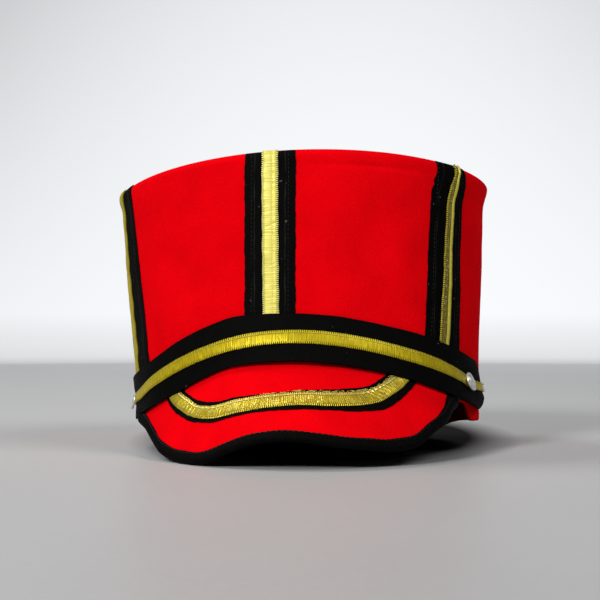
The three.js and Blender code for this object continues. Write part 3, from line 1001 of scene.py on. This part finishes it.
def stripes():
    half = GOLD_WIDTH / 2
    black_lift, black_thickness, gold_lift = 0.08, 0.35, 0.5
    # The gold copies are painted lit or shaded for where each stripe lies; deep is the shaded copy.
    facets = (partial(cupped_section, 0.2, 0.9), GOLD_FACETS_LIT_AND_SHADED, 0.08)
    usual = (partial(sewn_section, 0.33), GOLD, 0.08)
    wavy = (partial(sewn_section, 0.33), GOLD, 0.5)
    deep = (partial(sewn_section, 0.2), GOLD_SHADED, 0.6)
    kinds = {1: usual, 2: facets, 3: wavy, 4: usual, 5: facets, 6: deep}
    for k, (foot, head, gold_foot, gold_head, width) in enumerate(zip(*STRIPES.values()), 1):
        black, gold = stripe_place(foot, head), stripe_place(gold_foot, gold_head)
        black_edges, gold_edges = partial(steady, width / 2), partial(steady, half)
        if k == 2:
            length = run_length(black)
            black_edges = partial(wandering, length, "black", width / 2)
            gold_edges = partial(wandering, length, "gold", 0)
        band = black_band(
            f"ribbon_black_{k}", black, black_edges, black_lift, black_thickness, k, BLACK_RIDGED
        )
        ride(band, "black_ribbon", f"stripe_black_{k}")
        section, material, scallop = kinds[k]
        piece = gold_band(f"ribbon_gold_{k}", gold, gold_edges, gold_lift, section, material, k, scallop)
        ride(piece, "gold_ribbon", f"stripe_gold_{k}")
        for side, word in ((1, "left"), (-1, "right")):
            seam = stitches(f"sewing_{k}_{word}", black, side * width * 0.36, 0.4, BLACK_THREAD, pitch=2.2)
            ride(seam, "black_ribbon")
        ride(stitches(f"sewing_gold_{k}", gold, 0.3 * half, 0.8, GOLD_THREAD), "gold_ribbon")


def strap_place(t, across, lift):
    """The strap's face, with across in mm from its middle line."""
    azimuth = strap_azimuth(t)
    low_out, low = strap_point(azimuth, -1, 0)
    top_out, top = strap_point(azimuth, 1, 0)
    width = np.hypot(top_out - low_out, top - low)
    return strap_spot(t, across * 2 / width, lift)


def strap_gold_place(t, across, lift):
    """The gold ribbon's place on the strap, which wanders a little from the strap's middle line."""
    return strap_place(t, across + read(STRAP, "gold", strap_azimuth(t)), lift)


def strap():
    """The black strap with its rounded corners, and the gold ribbon sewn on it."""
    length, gold_length = run_length(strap_spot), run_length(strap_gold_place)
    low_corner, high_corner = 5.0, 2.0

    def half(run):
        return 1 + 0.006 * np.sin(run / 7) + 0.004 * np.sin(run / 2.9)

    def top(run, share):
        ripple = 0.1 * np.sin(run / 11 + 2 * share) + 0.05 * np.sin(run / 4.3 - 3 * share)
        return (ripple + 0.12 * bell((np.abs(share) - 0.96) / 0.05)) * (1 - share**8)

    def rounded(run, corner):
        near_end = np.clip(1 - np.minimum(run, length - run) / corner, 0, 1)
        return half(run) - (1 - np.sqrt(1 - near_end**2)) * corner / BAND["half_width"]

    def edges(run):
        return -rounded(run, low_corner), rounded(run, high_corner)

    def gold_edges(run):
        gold_half = read(STRAP, "gold_wide", strap_azimuth(run / gold_length)) / 2 - 0.35
        return -gold_half, gold_half

    band = ribbon("strap_ribbon", strap_spot, edges, top, -BAND["thickness"], BLACK, step=1.0, columns=33)
    ride(band, "black_ribbon", "strap_black")
    section = partial(bordered_section, 0.55, 0.35)
    gold = gold_band("strap_gold_ribbon", strap_gold_place, gold_edges, 0.12, section, GOLD_SHADED, 9)
    ride(gold, "gold_ribbon", "strap_gold")
    ride(frayed_end(), "gold_ribbon")
    ride(stitches("sewing_strap_gold", strap_gold_place, 1.8, 0.62, GOLD_THREAD), "gold_ribbon")


def frayed_end():
    """Loose yarns at the gold ribbon's cut end, past the left button."""
    rng = np.random.default_rng(12)
    count, share = 26, np.linspace(0, 1, 6)
    across = np.linspace(-2.3, 2.3, count)[:, None]
    reach, spread = rng.uniform(1.2, 3.4, (count, 1)), rng.uniform(-0.7, 0.7, (count, 1))
    lean = rng.uniform(0.0, 0.9, (count, 1))
    share = share[None, :]
    t = 1 + 0 * share + 0 * across
    start = strap_gold_place(t, across + spread * share**2, 0.3 + lean * share**2)
    along = unit(strap_gold_place(t, across, 0.3) - strap_gold_place(t - 0.004, across, 0.3))
    middle = start + along * (reach * share - 0.4)[..., None]
    return threads("frayed_gold", tube(middle, 0.13), FRAY_THREAD)


def trim():
    """The two ribbons across the peak, drawn into gathers where they turn their corners."""
    length = run_length(trim_spot)

    def column(name, run):
        return read(TRIM, name, trim_azimuth(run / length))

    def gold_edges(run):
        half = column("gold", run) / 2
        return -half, half

    def black_edges(run):
        low, high = gold_edges(run)
        return low - column("below", run), high + column("above", run)

    def gathers(run, share):
        corners = bell((run - 0.17 * length) / 11) + bell((run - 0.84 * length) / 12)
        return corners * 0.3 * (1.2 + share) / 2 * np.sin(run * 2 * np.pi / 2.9 + share)

    black = black_band("trim_ribbon", trim_spot, black_edges, 0.08, 0.3, 21, BLACK)
    ride(black, "black_ribbon", "trim_black")
    section = partial(bordered_section, 0.62, 0.3)
    gold = gold_band(
        "trim_gold_ribbon", trim_spot, gold_edges, 0.42, section, GOLD_GLINTING, 22, gathers=gathers
    )
    ride(gold, "gold_ribbon", "trim_gold")
    ride(stitches("sewing_trim", trim_spot, -1.6, 0.9, GOLD_THREAD), "gold_ribbon")
    ride(frayed_trim(length, gold_edges), "gold_ribbon")


def frayed_trim(length, edges):
    """Loose bright yarns along the upper edge of the trim's gold, on its left half."""
    rng = np.random.default_rng(31)
    count, share = 150, np.linspace(0, 1, 6)[None, :]
    run = np.sort(rng.uniform(0.46, 0.97, count))[:, None] * length
    reach, rise = rng.uniform(-2.2, 2.2, (count, 1)), rng.uniform(-0.5, 0.9, (count, 1))
    start, lean = rng.uniform(-0.5, 0.5, (count, 1)), rng.uniform(0.2, 0.8, (count, 1))
    here = run + reach * share
    across = edges(here)[1] + start + rise * share**2
    lift = 0.75 + lean * np.sin(np.pi * share)
    return threads("frayed_trim", tube(trim_spot(here / length, across, lift), 0.11), FRAY_THREAD)


# ---- buttons ----


def button_section():
    """A domed button's section, radius and height, from its back round a grooved rim to its top."""
    radius, thickness, rim = BUTTON["radius"], BUTTON["thickness"], BUTTON["rim"]
    floor, dome_radius = 1.0, radius - rim - 0.5
    back = [(0.02, 0), (radius - 0.6, 0), (radius - 0.15, 0.12), (radius, 0.5), (radius, 0.95)]
    front = [(radius - 0.2, 1.2), (radius - 0.5, 1.3), (radius - rim, 1.2)]
    groove = [(radius - rim - 0.25, 0.95), (dome_radius, floor)]
    turns = np.radians(np.linspace(8, 89.5, 14))
    dome = np.stack([dome_radius * np.cos(turns), floor + (thickness - floor) * np.sin(turns)], 1)
    return np.concatenate([np.array(back + front + groove), dome])


def buttons():
    section, seat = button_section(), 3 * GAP + 0.3
    turn = np.linspace(0, 2 * np.pi, 65)[:-1]
    for side in ("left", "right"):
        azimuth = float(BUTTON[side])

        def at(lift):
            across = read(STRAP, "gold", azimuth) / BAND["half_width"]
            out, height = strap_point(azimuth, across, lift)
            return spot(azimuth, height, out)

        base, outward = at(seat), unit(at(seat + 1) - at(seat))
        axis = unit(outward + BUTTON["tilt"] * np.array([np.sign(azimuth), 0, 1]))
        across = unit(np.cross(axis, [0, 0, 1]))
        up = np.cross(across, axis)
        circle = np.cos(turn)[None, :, None] * across + np.sin(turn)[None, :, None] * up
        points = base + section[:, :1, None] * circle + section[:, 1:, None] * axis
        uv = np.zeros(points.shape[:2] + (2,))
        piece = loft(f"button_{side}_metal", points, uv, [METAL], smooth_under=40)
        ride(piece, "button_metal", f"button_{side}")


# ---- peak ----


def peak_layer(name, low, high, count, material, sag=0.0):
    """A layer of the peak's sheet between two lifts, from the edge to the crown."""
    azimuth = np.linspace(EDGE["azimuth"][0], EDGE["azimuth"][-1], 300)[:, None]
    share = np.linspace(0, 1, count)[None, :]
    insets, lifts = [], []
    for lift, shares in ((high, share), (low, share[:, ::-1])):
        inset = shares * seam_inset(azimuth, lift)
        soft = sag * rough(peak_spot(azimuth, inset, 0.0), 26, 8) * np.sin(np.pi * shares) ** 0.5
        insets.append(inset)
        lifts.append(lift + soft)
    inset = np.concatenate(insets, 1)
    points = peak_spot(azimuth, inset, np.concatenate(lifts, 1))
    return loft(name, points, np.stack([azimuth * 2 + 0 * inset, inset], -1), [material])


def tape_section(inside):
    """The tape's closed section, inset and lift: top leg, fold and lower leg, then back inside."""
    outer_in, outer_lift = arc(NOSE, 90, 270, 17)
    inner_in, inner_lift = arc(inside, 270, 90, 9)
    top_leg, low_leg = np.linspace(PEAK["leg"], 0.5, 9), np.linspace(0.5, PEAK["under_leg"], 5)
    inset = np.concatenate([top_leg, outer_in, low_leg, low_leg[::-1], inner_in, top_leg[::-1]])
    outer = [np.full(len(top_leg), NOSE), outer_lift, np.full(len(low_leg), -NOSE)]
    inner = [np.full(len(low_leg), -inside), inner_lift, np.full(len(top_leg), inside)]
    return inset, np.concatenate(outer + inner)


def tape_points(azimuth):
    """The tape round the peak's edge: wider at the left end, and faintly gathered where it shows."""
    inside, leg = SHEET / 2 + 0.05, PEAK["leg"]
    inset, lift = tape_section(inside)
    widened = 1 + 0.75 * np.clip((azimuth - 36) / 15, 0, 1)
    inset = np.where((inset > 0) & (lift > 0), inset * widened, inset)
    lift = lift + 0 * inset
    shown = (np.abs(lift) > inside + 0.2) | (inset < -inside - 0.2)
    steps = np.diff(peak_spot(azimuth, 0, 0)[:, 0], axis=0, prepend=0)
    arch = np.cumsum(np.linalg.norm(steps, axis=1))[:, None]
    gather = 0.07 * np.sin(arch * 1.7) * np.sin(arch * 0.43 + 1) + 0.05 * np.sin(arch * 3.1)
    flat = 1 - bell((inset / widened - leg) / 0.8)
    swollen = 1 + np.where(shown, gather * flat, 0) / NOSE
    puff = np.where((lift > 0) & (inset > 0.4) & shown, -0.35 * (inset / widened / leg) ** 2, 0)
    uneven = 0.18 * np.sin(arch * 0.31) * np.where(inset / widened >= leg - 0.1, 1, 0)
    return peak_spot(azimuth, inset + uneven, np.maximum(lift * swollen, lift.min()) + puff)


def binding():
    """A tape folded round the peak's edge, with its sewing on the top face."""
    azimuth = np.linspace(EDGE["azimuth"][0], EDGE["azimuth"][-1], 620)[:, None]
    points = tape_points(azimuth)
    first, last = tucked(points[0], azimuth[0, 0], -9), tucked(points[-1], azimuth[-1, 0], 9)
    points = np.concatenate([first[::-1], points, last])
    around = np.linalg.norm(np.diff(points[:, 0], axis=0, prepend=points[:1, 0]), axis=1)
    crosswise = np.linspace(-1, 1, points.shape[1])[None, :] * UV_HALF
    uv = np.stack(np.broadcast_arrays(np.cumsum(around)[:, None], crosswise), -1)
    ride(loft("edge_tape", points, uv, [BLACK]), "black_ribbon", "peak_binding")

    def place(t, across, lift):
        return peak_spot(mix(EDGE["azimuth"][0], EDGE["azimuth"][-1], t), across, lift)

    seam = stitches("sewing_edge", place, PEAK["leg"] - 0.9, NOSE - 0.2, BLACK_THREAD, 0.16, 2.6)
    ride(seam, "black_ribbon")


def tucked(section, azimuth, turn):
    """Carries the end section of the tape on, thinner and thinner, to its hidden end under the strap."""
    steps, last_size = 14, 0.35
    middle = section.mean(0)
    out, height = strap_point(azimuth + turn, -0.45, -BAND["thickness"] - 1.2)
    target = spot(azimuth + turn, height, max(float(out), 1.0))
    share = np.linspace(0, 1, steps + 1)[1:, None, None]
    soft = share * share * (3 - 2 * share)
    return mix(middle, target, soft) + (section - middle) * mix(1, last_size, soft)


def peak():
    top, low = SHEET / 2, -SHEET / 2
    velvet_layer = peak_layer("velvet_peak", top - PEAK["velvet"], top, 60, VELVET, sag=0.12)
    ride(velvet_layer, "velvet", "peak_top")
    lining = peak_layer("cloth_under_peak", low, low + PEAK["lining"], 30, LINING)
    ride(lining, "lining", "peak_lining")
    binding()


# ---- stage ----


def stage():
    """A round pale floor whose edge rises in a soft cove to a light backdrop."""
    reach, wall = 1.93, 1.3
    bend = [(0.02, 0), (0.4, 0), (0.9, 0), (1.4, 0), (reach - 0.25, 0), (reach - 0.1, 0.006)]
    bend += [(reach - 0.02, 0.03), (reach, 0.08), (reach + 0.01, 0.3), (reach + 0.01, wall)]
    turns = np.radians(np.arange(0, 360, 3))
    radius, height = np.array(bend).T
    flat = radius[:, None, None] * np.stack([np.cos(turns), np.sin(turns)], -1)
    points = np.concatenate([flat, np.broadcast_to(height[:, None, None], flat.shape[:2] + (1,))], -1)
    count = len(turns)
    faces = [
        (i * count + j, (i + 1) * count + j, (i + 1) * count + (j + 1) % count, i * count + (j + 1) % count)
        for i in range(len(bend) - 1)
        for j in range(count)
    ]
    mesh = smooth_mesh("floor", points.reshape(-1, 3), [*faces, tuple(range(count))])
    mesh.materials.append(stage_material(reach))
    floor = add_object("floor", mesh)


def floor_shade(n, where, x, y):
    """The floor's grey with a painted shadow under and behind the cap, and how far a point lies outside that
    painted shadow: 0 in it, else 1.
    """
    lo, hi = CAD_BOX
    shift, squeeze = Vector((0.01, 0.1, 0)), 0.61  # of the patch: mostly behind the cap, and long
    middle, half = (lo + hi) / 2 + shift, (hi - lo) / 2
    beside = n.times(n.maths("SUBTRACT", x, middle.x), 1 / half.x)
    before = n.times(n.maths("SUBTRACT", y, middle.y), squeeze / half.y)
    # The painted shadow: near-black floor in a soft-edged oval, mostly behind the cap.
    outside_painted_shadow = n.span(n.length(beside, before), 0.84, 1.14)
    # Darker near the front and lighter towards the back: painted light and shade over the floor.
    pale = n.blend(n.span(y, -0.5, 1.3), grey(0.37), grey(0.78))
    cloudy = n.blend(n.span(n.noise(where, 5, 4), 0.3, 0.7, 0.0, 0.06), pale, grey(0.2))
    return n.blend(outside_painted_shadow, grey(0.025), cloudy), outside_painted_shadow


def backdrop(n, x, y, z):
    """The light behind the cap: its colour, dimmer to the sides and aloft, and its strength."""
    aside = n.times(n.times(x, x), n.span(z, 0.0, 1.0, 0.15, 0.9))
    aloft = n.times(n.times(z, z), 0.3)
    glow = n.colours(n.maths("ADD", aside, aloft), (0.0, (0.925, 0.945, 0.965)), (0.6, (0.33, 0.34, 0.35)))
    return glow, n.times(n.span(y, 0.0, 0.8), n.span(z, 0.7, 0.85, 1.0, 0.15))


def stage_material(reach):
    """Pale satin floor with a painted shadow under and behind the cap, and a softly lit backdrop past its
    edge.
    """
    n = Nodes("pale_stage")
    where = n.place()
    x, y, z = n.parts(where)
    shade, outside_painted_shadow = floor_shade(n, where, x, y)
    glow, strength = backdrop(n, x, y, z)
    outward = n.maths("ADD", n.length(x, y), n.times(z, 2.0))
    far = n.span(outward, reach - 0.33, reach + 0.16)
    n.set(
        Base_Color=n.blend(far, shade, grey(0.02)),
        Roughness=0.5,
        # No sheen inside the painted shadow.
        Specular_IOR_Level=n.times(n.maths("POWER", outside_painted_shadow, 4.0), 0.35),
        Emission_Color=n.blend(far, grey(0), glow),
        Emission_Strength=strength,
        Normal=n.bump(n.noise(where, 160, 3), 0.0002),
    )
    n.material.cycles.emission_sampling = "NONE"
    return n.material


def area_light(name, place, size, power):
    """A round soft light, turned towards the middle of the cap."""
    data = bpy.data.lights.new(name, "AREA")
    data.shape, data.size, data.energy = "DISK", size, power
    light = add_object(name, data)
    lo, hi = CAD_BOX
    light.location = place
    light.rotation_euler = ((lo + hi) / 2 - Vector(place)).to_track_quat("-Z", "Y").to_euler()


def lights():
    area_light("key", (-0.68, -1.28, 0.85), 0.45, 22)
    area_light("top", (-0.75, 0.3, 1.35), 0.6, 9)
    area_light("fill", (0.85, -0.55, 1.2), 0.8, 9)
    world = bpy.data.worlds.new("soft_room")
    world.use_nodes = True
    sky = world.node_tree.nodes["Background"].inputs
    sky["Color"].default_value = (0.95, 0.97, 1.0, 1)
    sky["Strength"].default_value = 0.03
    bpy.context.scene.world = world
    bpy.context.scene.view_settings.view_transform = "Standard"


def camera():
    """The camera stands in front of the cap, a little to its left, and looks almost level."""
    distance, azimuth, height, aside = 833, 2.32, 68.7, -1.14
    pan, pitch, lens, sensor = -0.275, 0.749, 91.7, 36
    stand, turn, tilt = math.radians(azimuth), math.radians(azimuth - pan), math.radians(pitch)
    forward = Vector((-math.sin(turn) * math.cos(tilt), math.cos(turn) * math.cos(tilt), math.sin(tilt)))
    place = np.array([aside + distance * math.sin(stand), -distance * math.cos(stand), height])
    data = bpy.data.cameras.new("camera")
    data.lens, data.sensor_width, data.clip_end = lens, sensor, 50
    view = add_object("camera", data)
    view.location = (place + SHIFT) * MM
    right = Vector((math.cos(turn), math.sin(turn), 0))
    view.rotation_euler = Matrix((right, right.cross(forward), -forward)).transposed().to_euler()
    bpy.context.scene.camera = view


camera()
crown_side()
crown_top()
stripes()
strap()
trim()
buttons()
peak()
stage()
lights()
